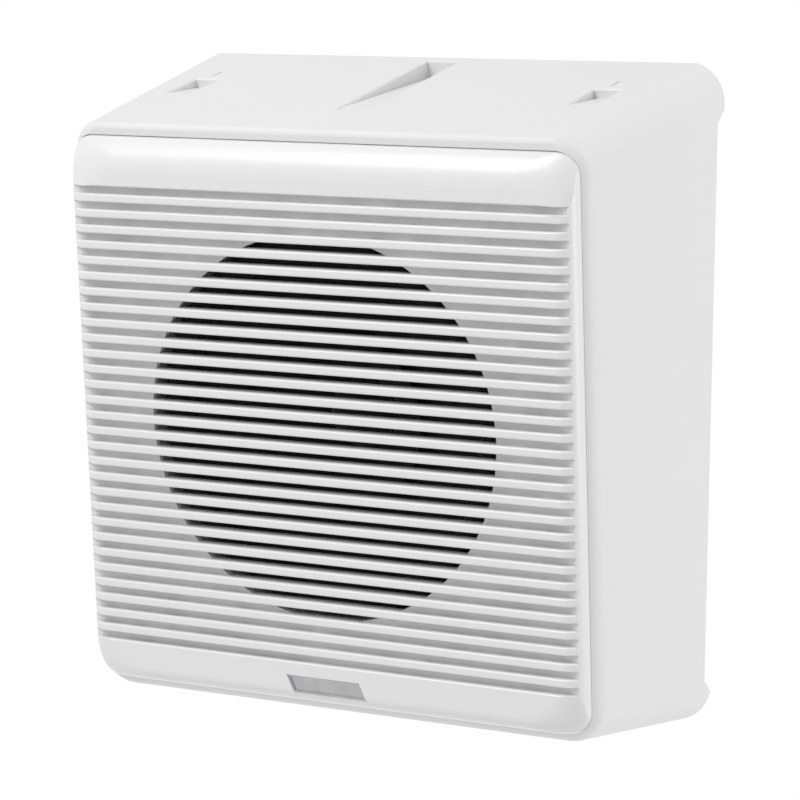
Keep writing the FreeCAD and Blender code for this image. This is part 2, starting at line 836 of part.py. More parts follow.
def rear_panel():
    """The recessed back: keyholes, cable hole, screw holes, and pads for the transformer and terminal block."""
    flat = placed(box(-rear_width, rear_width, -rear_height, rear_height, panel_setback, panel_inner), WALL)
    plate = cabinet_form(wall + panel_clearance, -wall).common(flat)
    pads = [cylinder(pad_radius, x, y, panel_inner, panel_inner + pad_height) for x, y in transformer_feet()]
    half = block_ways * block_pitch / 2
    pads.append(box(block_x - half, block_x + half, -block_drop - block_depth / 2,
                    -block_drop + block_depth / 2, panel_inner, panel_inner + plinth_height))
    plate = plate.fuse(placed(Part.makeCompound(pads), WALL))

    tools = [keyhole(side * keyhole_spacing / 2) for side in (-1, 1)]
    tools.append(cylinder(cable_hole_radius, block_x, -cable_entry_drop, 0, panel_inner + wall))
    tools += [cylinder(screw_hole, x, y, 0, panel_inner + wall) for x, y in panel_screw_points()]
    pilot = small_screw_radius + screw_play
    blind = panel_setback + blind_skin
    tools += [cylinder(pilot, x, y, blind, panel_inner + pad_height) for x, y in transformer_feet()]
    tools += [cylinder(pilot, x, y, blind, panel_inner + plinth_height) for x, y in block_fixings()]
    tools = [placed(tool, WALL) for tool in tools]
    hook_room = pocket_wall + panel_clearance
    tools.append(top_pocket(hook_width, hook_depth, hook_length, hook_from_rear, 0, hook_room))
    return plate.cut(Part.makeCompound(tools)).removeSplitter()


def cable_grommet():
    """A rubber bush in the rear panel's cable hole, with a lip on each face."""
    neck = cable_hole_radius - screw_play
    body = turned([
        (grommet_bore, panel_setback - grommet_lip), (grommet_flange, panel_setback - grommet_lip),
        (grommet_flange, panel_setback), (neck, panel_setback),
        (neck, panel_inner), (grommet_flange, panel_inner),
        (grommet_flange, panel_inner + grommet_lip), (grommet_bore, panel_inner + grommet_lip),
    ])
    body.translate(Vector(block_x, -cable_entry_drop, 0))
    return body


# Transformer, in the WALL frame: its centre leg stands out of the panel and its laminations stack along Y
core_low = panel_inner
core_high = core_low + core_height
window_high = core_high - core_leg
window_low = core_low + core_leg
core_middle = (core_low + core_high) / 2
window_width = (core_width - 2 * core_leg - core_centre_leg) / 2
tube_half_x = core_centre_leg / 2 + bobbin_wall
stack_half = core_stack / 2


def transformer_core():
    """The stack of laminations: two windows round a centre leg."""
    half = core_width / 2
    y0 = -transformer_drop - stack_half
    y1 = -transformer_drop + stack_half
    block = box(transformer_x - half, transformer_x + half, y0, y1, core_low, core_high)
    for side in (-1, 1):
        x0, x1 = sorted((side * core_centre_leg / 2, side * (core_centre_leg / 2 + window_width)))
        block = block.cut(box(transformer_x + x0, transformer_x + x1, y0, y1, window_low, window_high))
    return block


def coil_block(inner_x, inner_y, outer_x, outer_y, low, high):
    """A rectangular tube round the core's centre leg."""
    y = -transformer_drop
    outer = box(transformer_x - outer_x, transformer_x + outer_x, y - outer_y, y + outer_y, low, high)
    return outer.cut(box(transformer_x - inner_x, transformer_x + inner_x, y - inner_y, y + inner_y, low, high))


def transformer_bobbin():
    """The moulded spool: a tube on the centre leg with a flange at each end."""
    hole_x = core_centre_leg / 2 + core_play
    hole_y = stack_half + core_play
    flange_x = core_centre_leg / 2 + window_width - core_play
    flange_y = hole_y + window_width
    low = window_low + core_play
    high = window_high - core_play
    tube = coil_block(hole_x, hole_y, tube_half_x, hole_y + bobbin_wall, low, high)
    ends = [coil_block(hole_x, hole_y, flange_x, flange_y, a, b)
            for a, b in ((low, low + bobbin_wall), (high - bobbin_wall, high))]
    return fuse_all([tube] + ends)


def transformer_winding():
    """Both windings and their wrapping, filling the spool."""
    hole_y = stack_half + core_play
    outer_x = core_centre_leg / 2 + window_width - winding_margin
    outer_y = hole_y + window_width - winding_margin
    low = window_low + core_play + bobbin_wall
    high = window_high - core_play - bobbin_wall
    return coil_block(tube_half_x, hole_y + bobbin_wall, outer_x, outer_y, low, high)


def transformer_strap():
    """The steel strap over the laminations, with a foot on each pad."""
    half = core_width / 2
    y0 = -transformer_drop - strap_width / 2
    foot_low = panel_inner + pad_height
    path = [
        Vector(-half - strap_gauge - foot_reach, y0, foot_low), Vector(-half, y0, foot_low),
        Vector(-half, y0, core_high), Vector(half, y0, core_high), Vector(half, y0, foot_low),
        Vector(half + strap_gauge + foot_reach, y0, foot_low),
        Vector(half + strap_gauge + foot_reach, y0, foot_low + strap_gauge),
        Vector(half + strap_gauge, y0, foot_low + strap_gauge),
        Vector(half + strap_gauge, y0, core_high + strap_gauge),
        Vector(-half - strap_gauge, y0, core_high + strap_gauge),
        Vector(-half - strap_gauge, y0, foot_low + strap_gauge),
        Vector(-half - strap_gauge - foot_reach, y0, foot_low + strap_gauge),
    ]
    outline = polygon([p + Vector(transformer_x, 0, 0) for p in path])
    strap = Part.Face(outline).extrude(Vector(0, strap_width, 0))
    holes = [cylinder(small_hole, x, y, foot_low, foot_low + strap_gauge) for x, y in transformer_feet()]
    return strap.cut(Part.makeCompound(holes))


# Terminal block, in the WALL frame: its ways side by side along X, wires entering from below and above
block_low = panel_inner + plinth_height
block_top = block_low + block_height
insert_level = block_low + block_base


def block_ways_x():
    return [block_x + (i - (block_ways - 1) / 2) * block_pitch for i in range(block_ways)]


def along_y(radius, x, y0, y1, z):
    """A cylinder along Y."""
    return Part.makeCylinder(radius, y1 - y0, Vector(x, y0, z), Vector(0, 1, 0))


def terminal_block():
    """The moulded body: a tunnel through each way, a well over each clamping screw, fixing holes between."""
    half_w = block_ways * block_pitch / 2
    half_d = block_depth / 2
    y = -block_drop
    body = box(block_x - half_w, block_x + half_w, y - half_d, y + half_d, block_low, insert_level)
    tools = []
    for x in block_ways_x():
        half_t = (block_pitch - tower_gap) / 2
        body = body.fuse(box(x - half_t, x + half_t, y - half_d, y + half_d, insert_level, block_top))
        tools.append(along_y(insert_radius + screw_play, x, y - half_d, y + half_d, insert_level))
        for end in (-1, 1):
            tools.append(cylinder(small_head_radius, x, y + end * half_d / 2, insert_level, block_top))
    for x, fixing_y in block_fixings():
        tools.append(cylinder(small_hole, x, fixing_y, block_low, insert_level))
        tools.append(cylinder(small_head_radius + screw_play, x, fixing_y, insert_level, block_top))
    return body.cut(Part.makeCompound(tools)).removeSplitter()


def terminal_inserts():
    """A brass sleeve in each way, bored for the wires and drilled for its two screws."""
    half_d = block_depth / 2
    half_s = half_d - insert_setback
    y = -block_drop
    inserts = []
    for x in block_ways_x():
        sleeve = along_y(insert_radius, x, y - half_s, y + half_s, insert_level)
        sleeve = sleeve.cut(along_y(insert_bore, x, y - half_d, y + half_d, insert_level))
        for end in (-1, 1):
            sleeve = sleeve.cut(
                cylinder(small_screw_radius + screw_play, x, y + end * half_d / 2, insert_level, block_top))
        inserts.append(sleeve)
    return inserts


def terminal_screws():
    """Two slotted clamping screws in each way."""
    half_d = block_depth / 2
    screws = []
    for x in block_ways_x():
        for end in (-1, 1):
            y = -block_drop + end * half_d / 2
            top = insert_level + insert_radius + small_head_height
            body = cylinder(small_screw_radius, x, y, insert_level + wire_radius + wire_gap, top)
            slot = box(x - small_screw_radius, x + small_screw_radius, y - slot_width / 2, y + slot_width / 2,
                       top - slot_depth, top)
            screws.append(body.cut(slot))
    return screws


def coil_face(side):
    """Height of the winding's lower (-1) or upper (1) face, less the gap that a wire's end keeps."""
    return -transformer_drop + side * (stack_half + core_play + window_width - winding_margin + glue_gap)


def input_wires():
    """Two insulated wires from the terminal block's lower side, along the bottom, up to the winding."""
    lane = 2 * wire_radius + wire_gap
    wires = []
    for i, x in enumerate(block_ways_x()[:2]):
        end_x = transformer_x + core_centre_leg * (0.5 - i)
        turn_y = -block_drop - block_depth / 2 - wire_bend - (1 - i) * lane
        wires.append(routed_tube([
            Vector(x, -block_drop - wire_radius, insert_level),
            Vector(x, turn_y, insert_level),
            Vector(x + 2 * wire_bend, turn_y - wire_bend, insert_level),
            Vector(end_x - 3 * wire_bend, turn_y - wire_bend, insert_level),
            Vector(end_x, turn_y, core_middle),
            Vector(end_x, coil_face(-1), core_middle),
        ], wire_radius))
    return wires


def driver_wires():
    """Two insulated wires from the winding's upper face to the rear ends of the driver's solder tags."""
    to_wall = WALL.inverse()
    half_bend = wire_bend / 2
    wires = []
    for side in (-1, 1):
        tag, away = [
            to_wall.multVec(STRIP.multVec(Vector(tag_length / 2 + reach, side * tag_spacing / 2,
                                                 tag_strip_thickness + wire_radius)))
            for reach in (glue_gap, wire_bend)
        ]
        start = Vector(transformer_x + side * core_centre_leg / 2, coil_face(1), core_middle)
        wires.append(routed_tube([
            start, start + Vector(0, wire_bend, 0), away + Vector(half_bend, -half_bend, -half_bend), away, tag,
        ], wire_radius))
    return wires


def build():
    os.makedirs("parts", exist_ok=True)
    export("cabinet", cabinet())
    export("front_grille", front_grille(), DRIVER)
    export("badge", badge(), DRIVER)
    export("grille_screws", [
        screw(x, y, seat_back, grille_back, screw_radius, head_radius, head_height)
        for x, y in grille_screw_points()
    ], DRIVER)

    export("driver_seal", clamp_ring(seal_back, grille_back), DRIVER)
    export("driver_gasket", clamp_ring(gasket_back, seal_back), DRIVER)
    export("driver_basket", driver_basket(), DRIVER)
    export("driver_screws", [
        screw(x, y, flange_back, gasket_back + screw_bite, screw_radius, head_radius, head_height)
        for x, y in driver_screw_points()
    ], DRIVER)
    export("surround", surround(), DRIVER)
    export("cone", cone(), DRIVER)
    export("whizzer_cone", whizzer_cone(), DRIVER)
    export("dust_cap", dust_cap(), DRIVER)
    export("coil_former", ring(former_outer, former_inner, former_back, former_front), DRIVER)
    export("voice_coil", ring(coil_outer, coil_inner, coil_back, coil_back + coil_length), DRIVER)
    export("spider", spider(), DRIVER)
    export("top_plate", ring(plate_radius, plate_bore, magnet_front, plate_front), DRIVER)
    export("ring_magnet", ring(magnet_outer, magnet_inner, yoke_front, magnet_front), DRIVER)
    export("pole_piece", pole_piece(), DRIVER)
    export("tag_strip", tag_strip(), STRIP)
    export("solder_tags", solder_tags(), STRIP)
    export("braided_leads", braided_leads(), DRIVER)

    export("rear_panel", rear_panel())
    export("rear_panel_screws", [
        screw(x, y, panel_setback, panel_inner + panel_screw_bite, screw_radius, head_radius, head_height)
        for x, y in panel_screw_points()
    ], WALL)
    export("cable_grommet", cable_grommet(), WALL)
    export("transformer_core", transformer_core(), WALL)
    export("transformer_bobbin", transformer_bobbin(), WALL)
    export("transformer_winding", transformer_winding(), WALL)
    export("transformer_strap", transformer_strap(), WALL)
    foot_top = panel_inner + pad_height + strap_gauge
    export("transformer_screws", [
        screw(x, y, foot_top, panel_inner, small_screw_radius, small_head_radius, small_head_height)
        for x, y in transformer_feet()
    ], WALL)
    export("terminal_block", terminal_block(), WALL)
    export("terminal_inserts", terminal_inserts(), WALL)
    export("terminal_screws", terminal_screws(), WALL)
    export("terminal_block_screws", [
        screw(x, y, insert_level, panel_inner, small_screw_radius, small_head_radius, small_head_height)
        for x, y in block_fixings()
    ], WALL)
    export("input_wires", input_wires(), WALL)
    export("driver_wires", driver_wires(), WALL)


build()
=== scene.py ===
"""Finishes, flexing driver parts, studio and camera of a white wall speaker with a louvred front."""
import json

import bmesh
import bpy
import numpy as np
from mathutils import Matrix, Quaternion, Vector


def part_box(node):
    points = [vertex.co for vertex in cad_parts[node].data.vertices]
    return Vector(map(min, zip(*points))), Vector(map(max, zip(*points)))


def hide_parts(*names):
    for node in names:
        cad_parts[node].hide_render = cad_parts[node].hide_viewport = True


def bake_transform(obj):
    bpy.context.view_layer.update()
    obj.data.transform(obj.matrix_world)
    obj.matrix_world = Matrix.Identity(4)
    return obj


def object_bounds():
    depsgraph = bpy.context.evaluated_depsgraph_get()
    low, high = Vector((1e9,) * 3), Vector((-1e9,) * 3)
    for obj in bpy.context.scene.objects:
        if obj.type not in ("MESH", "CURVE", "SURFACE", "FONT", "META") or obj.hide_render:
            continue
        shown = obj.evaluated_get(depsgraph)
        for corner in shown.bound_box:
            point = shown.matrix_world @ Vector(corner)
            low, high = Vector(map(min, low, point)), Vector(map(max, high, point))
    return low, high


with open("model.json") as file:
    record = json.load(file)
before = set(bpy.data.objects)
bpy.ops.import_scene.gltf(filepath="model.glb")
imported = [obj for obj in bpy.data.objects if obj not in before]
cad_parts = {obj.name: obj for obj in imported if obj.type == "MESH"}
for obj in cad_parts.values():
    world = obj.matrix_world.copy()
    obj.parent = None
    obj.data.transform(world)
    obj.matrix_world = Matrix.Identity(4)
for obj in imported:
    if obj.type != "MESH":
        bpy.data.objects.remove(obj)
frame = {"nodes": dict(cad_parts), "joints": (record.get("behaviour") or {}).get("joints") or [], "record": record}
cad_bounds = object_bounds()

# Camera: where it stands, what it looks at, how far it leans, and its lens and sensor in millimetres
CAMERA_EYE = Vector((0.58582, -1.09375, 0.07269))
CAMERA_AIM = Vector((-0.01252, -0.00745, -0.08368))
CAMERA_LEAN = 0.0113
CAMERA_LENS = 143.16
CAMERA_SENSOR = 36.0

# Studio: light from all round, distance and width of the softboxes, and each one's direction and strength
FILL_LIGHT = 0.45
SOFTBOX_DISTANCE = 1.7
SOFTBOX_WIDTH = 0.9
SOFTBOXES = {
    "key_softbox": ((-0.26, -0.65, 0.71), 0.62),
    "side_softbox": ((0.93, 0.30, 0.05), 0.27),
    "high_side_softbox": ((0.75, 0.40, 0.50), 0.20),
}

# White of the backdrop and of the floor's glow
FULL_WHITE = (1.0, 1.0, 1.0, 1.0)

# Floor: how far below the speaker it lies, its width, its glow, and its mottle's count per metre and tones
FLOOR_DROP = 0.40
FLOOR_SIZE = 2.4
FLOOR_GLOW = 0.50
FLOOR_MOTTLE = 6.0
FLOOR_TONES = (0.86, 0.88)

# Driver: its axis towards the front, its own two directions across that, and a point on the axis
AXIS = np.array(frame["joints"][0]["axis"])
ACROSS = np.array((1.0, 0.0, 0.0))
UP = np.cross(ACROSS, -AXIS)
AXIS_POINT = np.array(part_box("driver_gasket")).mean(axis=0)

# Cloth rings: corners round a ring, thickness of each cloth, and corners over the surround's roll
RING_STEPS = 180
SURROUND_GAUGE = 0.0006
SPIDER_GAUGE = 0.0005
ROLL_STEPS = 33

# Spider: its waves, corners along each, the part of a wave that comes down to the edge, and the glued edge
SPIDER_WAVES = 4
WAVE_STEPS = 24
SPIDER_SETTLE = 0.25
SPIDER_GLUED = 0.0068

# Braided leads: radius, straight run out of the tag, slack behind the cone, corners along and round a lead
LEAD_RADIUS = 0.0008
LEAD_RUN = 0.008
LEAD_SLACK = 0.006
LEAD_STEPS = 160
LEAD_SIDES = 24

# Braid of the leads: its strands, its turns, and the share of the radius that it stands out by
BRAID_STRANDS = 6
BRAID_TURNS = 14
BRAID_RELIEF = 0.14

# Spans of the values that marks take: all of them, most noise, its middle, and nearly all of it
FULL_SPAN = (0.0, 1.0)
NOISE_SPAN = (0.3, 0.7)
NOISE_MIDDLE = (0.35, 0.65)
NOISE_REACH = (0.25, 0.75)

# Lighter edges, partly wear and partly painted highlight: how well a rounded normal agrees with the true one, from
# a flat face to a sharp edge
EDGE_SPAN = (0.995, 0.85)

# Edges: share by which white plastic goes over to its painted highlight, and plain plastic and coats to their tone
# that is partly wear and partly painted highlight
WHITE_HIGHLIGHT_SHARE = 0.3
PLAIN_EDGE = 0.25
COAT_EDGE = 0.5

# Lighter edge tones: white plastic's painted highlight and, partly wear and partly painted highlight, how far
# plain plastic goes to white and how many times brighter metal is
HIGHLIGHT_WHITE = (0.86, 0.86, 0.86)
PALER_EDGE = 0.3
BRIGHTER_EDGE = 1.15

# Painted shade in corners: how open a corner is, from unshaded to fully shaded, the least share of shade where the
# noise thins it, and its tone
SHADE_SPAN = (0.6, 0.2)
LEAST_SHADE = 0.4
SHADE_TONE = (0.30, 0.295, 0.285)

# Patterns: how each set of fibres and the drawn streaks are stretched, and the foam's cells and pores
FIBRE_STRETCHES = ((1.0, 0.15, 0.2), (0.15, 0.3, 1.0))
STREAK_STRETCH = (0.06, 1.0, 1.0)
FOAM_CELLS = 1100.0
PORE_SPAN = (0.15, 0.6)

# Gloss: refraction of plastics and paint, and how far roughness goes to either side of its own value
WHITE_IOR = 1.56
PLAIN_IOR = 1.5
WHITE_GLOSS = (-0.02, 0.02)
PLAIN_GLOSS = (-0.05, 0.07)
METAL_GLOSS = (-0.08, 0.10)
COAT_GLOSS = (-0.08, 0.08)

# A micrometre in metres: the unit of relief, and how near to each other two corners are one
MICRON = 0.000001

# Sockets of a colour mix: its share, its two colours and its result
MIX_SHARE = 0
MIX_FIRST = 6
MIX_SECOND = 7
MIX_RESULT = 2


def new_object(name, data):
    """A new object at the origin, in the scene."""
    made = bpy.data.objects.new(name, data)
    bpy.context.scene.collection.objects.link(made)
    return made


def add(tree, kind, inputs=None, **settings):
    """One shader node with its settings; an input given as a socket is linked, any other input is set."""
    made = tree.nodes.new("ShaderNode" + kind)
    for key, value in settings.items():
        setattr(made, key, value)
    for key, value in (inputs or {}).items():
        if isinstance(value, bpy.types.NodeSocket):
            tree.links.new(value, made.inputs[key])
        else:
            made.inputs[key].default_value = value
    return made


def object_place(tree):
    """The place of each point of the surface, in metres."""
    return add(tree, "TexCoord").outputs["Object"]


def ramp(tree, value, low, high, to_low=0.0, to_high=1.0):
    """A value from low to high carried to a clamped value from to_low to to_high."""
    made = add(tree, "MapRange", {
        "Value": value, "From Min": low, "From Max": high, "To Min": to_low, "To Max": to_high,
    })
    return made.outputs["Result"]


def joined(tree, operation, first, second):
    """Two values joined by one step of arithmetic; each is a socket or a number."""
    return add(tree, "Math", {0: first, 1: second}, operation=operation).outputs["Value"]


def noise(tree, place, scale, detail, **more):
    """Cloudy noise with a count per metre and so many finer layers."""
    made = add(tree, "TexNoise", {"Vector": place, "Scale": scale, "Detail": detail, **more})
    return made.outputs["Fac"]


def stretched(tree, place, scale):
    """The place with each direction scaled by its own factor."""
    return add(tree, "Mapping", {"Vector": place, "Scale": scale}).outputs["Vector"]


def grey(level):
    """A neutral tone."""
    return (level, level, level)


def mix(tree, share, first, second):
    """The first colour, going over to the second by a share; each is a socket or a colour."""
    first, second = (colour if isinstance(colour, bpy.types.NodeSocket) else (*colour, 1.0)
                     for colour in (first, second))
    inputs = {MIX_SHARE: share, MIX_FIRST: first, MIX_SECOND: second}
    return add(tree, "Mix", inputs, data_type="RGBA").outputs[MIX_RESULT]


def new_group(name, inputs, outputs):
    """An empty shader group with named value inputs and outputs; gives the tree and its two ends."""
    tree = bpy.data.node_groups.new(name, "ShaderNodeTree")
    for label, value in inputs.items():
        socket = tree.interface.new_socket(label, in_out="INPUT", socket_type="NodeSocketFloat")
        socket.default_value = value
    for label in outputs:
        tree.interface.new_socket(label, in_out="OUTPUT", socket_type="NodeSocketFloat")
    return tree, tree.nodes.new("NodeGroupInput").outputs, tree.nodes.new("NodeGroupOutput").inputs


def skin_group():
    """Moulded skin: fine grain and broad flow marks, both from noise at a given count per metre."""
    tree, given, out = new_group(
        "moulded_skin", {"Grain": 2500.0, "Flow": 14.0}, ("Grain Height", "Flow Mark"))
    place = object_place(tree)
    grain = noise(tree, place, given["Grain"], 2.0, Roughness=0.6)
    flow = noise(tree, place, given["Flow"], 4.0, Distortion=0.6)
    tree.links.new(grain, out["Grain Height"])
    tree.links.new(ramp(tree, flow, *NOISE_SPAN), out["Flow Mark"])
    return tree


def edge_wear_sheen_group():
    """Lighter edges, partly wear and partly painted highlight: where the surface turns within a small radius,
    broken up by noise.
    """
    tree, given, out = new_group("edge_wear_and_painted_sheen", {"Radius": 0.0006, "Breakup": 300.0}, ("Wear And Sheen",))
    rounded = add(tree, "Bevel", {"Radius": given["Radius"]}, samples=4).outputs["Normal"]
    true_normal = add(tree, "NewGeometry").outputs["Normal"]
    agree = add(tree, "VectorMath", {0: rounded, 1: true_normal}, operation="DOT_PRODUCT")
    turn = ramp(tree, agree.outputs["Value"], *EDGE_SPAN)
    breakup = noise(tree, object_place(tree), given["Breakup"], 3.0)
    share = ramp(tree, breakup, *NOISE_MIDDLE)
    tree.links.new(joined(tree, "MULTIPLY", turn, share), out["Wear And Sheen"])
    return tree


def corner_shade_group():
    """Painted shade in the corners: darker where little light reaches, broken up by noise."""
    tree, given, out = new_group("painted_corner_shade", {"Reach": 0.004, "Breakup": 90.0}, ("Dust",))
    reach = add(tree, "AmbientOcclusion", {"Distance": given["Reach"]}, samples=4)
    closed = ramp(tree, reach.outputs["AO"], *SHADE_SPAN)
    breakup = noise(tree, object_place(tree), given["Breakup"], 5.0)
    share = ramp(tree, breakup, *NOISE_REACH, LEAST_SHADE, 1.0)
    tree.links.new(joined(tree, "MULTIPLY", closed, share), out["Dust"])
    return tree


def fibre_group():
    """Pressed fibres: the higher of two noises, each stretched its own way, and cloudy pulp."""
    tree, given, out = new_group(
        "pressed_fibre", {"Fibre": 900.0, "Cloud": 120.0}, ("Fibre Height", "Cloud"))
    place = object_place(tree)
    first, second = (noise(tree, stretched(tree, place, stretch), given["Fibre"], 3.0)
                     for stretch in FIBRE_STRETCHES)
    cloud = noise(tree, place, given["Cloud"], 4.0)
    tree.links.new(joined(tree, "MAXIMUM", first, second), out["Fibre Height"])
    tree.links.new(ramp(tree, cloud, *NOISE_SPAN), out["Cloud"])
    return tree


def weave_group():
    """Plain weave: the product of two crossing sine waves, raised where a thread passes over."""
    tree, given, out = new_group("plain_weave", {"Threads": 420.0}, ("Weave Height",))
    place = object_place(tree)
    waves = {"Vector": place, "Scale": given["Threads"], "Distortion": 0.6}
    first, second = (add(tree, "TexWave", waves, bands_direction=direction).outputs["Fac"]
                     for direction in ("X", "Z"))
    tree.links.new(joined(tree, "MULTIPLY", first, second), out["Weave Height"])
    return tree


def streak_group():
    """Drawn metal: noise stretched along one axis, and blotches of plating."""
    tree, given, out = new_group("drawn_metal", {"Streak": 700.0, "Blotch": 160.0}, ("Streak", "Blotch"))
    place = object_place(tree)
    streak = noise(tree, stretched(tree, place, STREAK_STRETCH), given["Streak"], 3.0)
    blotch = noise(tree, place, given["Blotch"], 3.0)
    tree.links.new(streak, out["Streak"])
    tree.links.new(ramp(tree, blotch, *NOISE_MIDDLE), out["Blotch"])
    return tree


SKIN = skin_group()
EDGE_WEAR_SHEEN = edge_wear_sheen_group()
CORNER_SHADE = corner_shade_group()
FIBRE = fibre_group()
WEAVE = weave_group()
STREAK = streak_group()


def use(tree, group, **values):
    """One placed copy of a shared group, with its own values; gives its outputs."""
    made = tree.nodes.new("ShaderNodeGroup")
    made.node_tree = group
    for key, value in values.items():
        made.inputs[key].default_value = value
    return made.outputs


def new_material(name, **fixed):
    """A new material, its tree and its shader, with what is the same all over set on the shader."""
    material = bpy.data.materials.new(name)
    material.use_nodes = True
    tree = material.node_tree
    shader = tree.nodes["Principled BSDF"]
    for key, value in fixed.items():
        shader.inputs[key.replace("_", " ")].default_value = value
    return material, tree, shader


def paint(tree, shader, colour):
    """A colour that changes over the surface, on the shader."""
    tree.links.new(colour, shader.inputs["Base Color"])


def uneven_gloss(tree, shader, marks, span, roughness, spread):
    """Roughness that follows marks over their span, from the finer to the coarser side of its own value."""
    finer, coarser = spread
    tree.links.new(ramp(tree, marks, *span, roughness + finer, roughness + coarser),
                   shader.inputs["Roughness"])


def bump(tree, shader, height, depth):
    """Relief of a given depth in metres on the shader's normal."""
    made = add(tree, "Bump", {"Height": height, "Distance": depth, "Strength": 1.0})
    tree.links.new(made.outputs["Normal"], shader.inputs["Normal"])


def white_moulding(name, tone, flow_tone, shade_share, grain_depth, roughness):
    """White moulded plastic: broad flow marks, painted shade in the corners, a painted highlight on the edges,
    fine grain.
    """
    material, tree, shader = new_material(name, IOR=WHITE_IOR)
    skin = use(tree, SKIN, Grain=2600.0, Flow=16.0)
    # Painted shade: corners that little light reaches are darkened towards a dark tone
    shade_mask = joined(tree, "MULTIPLY", use(tree, CORNER_SHADE, Reach=0.004)["Dust"], shade_share)
    # Painted highlight: edges lightened towards a paler white
    edge = joined(tree, "MULTIPLY", use(tree, EDGE_WEAR_SHEEN, Radius=0.0005)["Wear And Sheen"], WHITE_HIGHLIGHT_SHARE)
    colour = mix(tree, skin["Flow Mark"], tone, flow_tone)
    colour = mix(tree, shade_mask, colour, SHADE_TONE)
    paint(tree, shader, mix(tree, edge, colour, HIGHLIGHT_WHITE))
    uneven_gloss(tree, shader, skin["Grain Height"], NOISE_SPAN, roughness, WHITE_GLOSS)
    bump(tree, shader, skin["Grain Height"], grain_depth)
    return material


def plain_moulding(name, tone, low_tone, roughness, flow=60.0):
    """Coloured moulded plastic or insulation: two close tones in flow marks, paler edges that are partly wear and
    partly painted highlight, fine grain.
    """
    material, tree, shader = new_material(name, IOR=PLAIN_IOR)
    skin = use(tree, SKIN, Grain=3000.0, Flow=flow)
    # Edges go paler: partly wear, partly painted highlight
    edge = joined(tree, "MULTIPLY", use(tree, EDGE_WEAR_SHEEN, Radius=0.0003)["Wear And Sheen"], PLAIN_EDGE)
    paler = tuple((1 - PALER_EDGE) * level + PALER_EDGE for level in tone)
    colour = mix(tree, skin["Flow Mark"], tone, low_tone)
    paint(tree, shader, mix(tree, edge, colour, paler))
    uneven_gloss(tree, shader, skin["Flow Mark"], FULL_SPAN, roughness, PLAIN_GLOSS)
    bump(tree, shader, skin["Grain Height"], 20 * MICRON)
    return material


def foam(name, tone, pore_tone):
    """Closed-cell foam: rounded cells with dark pores between them."""
    material, tree, shader = new_material(name, Roughness=0.95)
    cells = add(tree, "TexVoronoi", {"Vector": object_place(tree), "Scale": FOAM_CELLS}).outputs["Distance"]
    paint(tree, shader, mix(tree, ramp(tree, cells, *PORE_SPAN), tone, pore_tone))
    bump(tree, shader, joined(tree, "MULTIPLY", cells, -1.0), 300 * MICRON)
    return material


def paper(name, tone, cloud_tone, roughness, sheen=0.1):
    """Black pulp paper: cloudy tone and pressed fibres."""
    material, tree, shader = new_material(name, Roughness=roughness, Sheen_Weight=sheen)
    fibre = use(tree, FIBRE)
    paint(tree, shader, mix(tree, fibre["Cloud"], tone, cloud_tone))
    bump(tree, shader, fibre["Fibre Height"], 100 * MICRON)
    return material


def cloth(name, tone, thread_tone, threads):
    """Treated cloth: a plain weave with paler thread tops."""
    material, tree, shader = new_material(name, Roughness=0.85, Sheen_Weight=0.15)
    weave = use(tree, WEAVE, Threads=threads)["Weave Height"]
    paint(tree, shader, mix(tree, weave, tone, thread_tone))
    bump(tree, shader, weave, 120 * MICRON)
    return material


def metal(name, tone, dull_tone, roughness, streak=700.0):
    """Plated or drawn metal: drawn streaks in the gloss, blotches in the tone, bright edges that are partly wear
    and partly painted highlight.
    """
    material, tree, shader = new_material(name, Metallic=1.0)
    marks = use(tree, STREAK, Streak=streak)
    # Edges brighten: partly wear, partly painted highlight
    edge = use(tree, EDGE_WEAR_SHEEN, Radius=0.0002)["Wear And Sheen"]
    bright = tuple(min(1.0, BRIGHTER_EDGE * level) for level in tone)
    colour = mix(tree, marks["Blotch"], tone, dull_tone)
    paint(tree, shader, mix(tree, edge, colour, bright))
    uneven_gloss(tree, shader, marks["Streak"], NOISE_SPAN, roughness, METAL_GLOSS)
    bump(tree, shader, marks["Streak"], 10 * MICRON)
    return material


def coated_metal(name, tone, dull_tone, roughness, worn_sheen_tone):
    """Painted, varnished or sintered metal: uneven coat with lighter edges, partly wear and partly painted
    highlight, and a little orange peel.
    """
    material, tree, shader = new_material(name, IOR=PLAIN_IOR)
    skin = use(tree, SKIN, Grain=900.0, Flow=80.0)
    # Edges go over to a lighter tone: partly wear, partly painted highlight
    edge = joined(tree, "MULTIPLY", use(tree, EDGE_WEAR_SHEEN, Radius=0.0003)["Wear And Sheen"], COAT_EDGE)
    colour = mix(tree, skin["Flow Mark"], tone, dull_tone)
    paint(tree, shader, mix(tree, edge, colour, worn_sheen_tone))
    uneven_gloss(tree, shader, skin["Flow Mark"], FULL_SPAN, roughness, COAT_GLOSS)
    bump(tree, shader, skin["Grain Height"], 40 * MICRON)
    return material


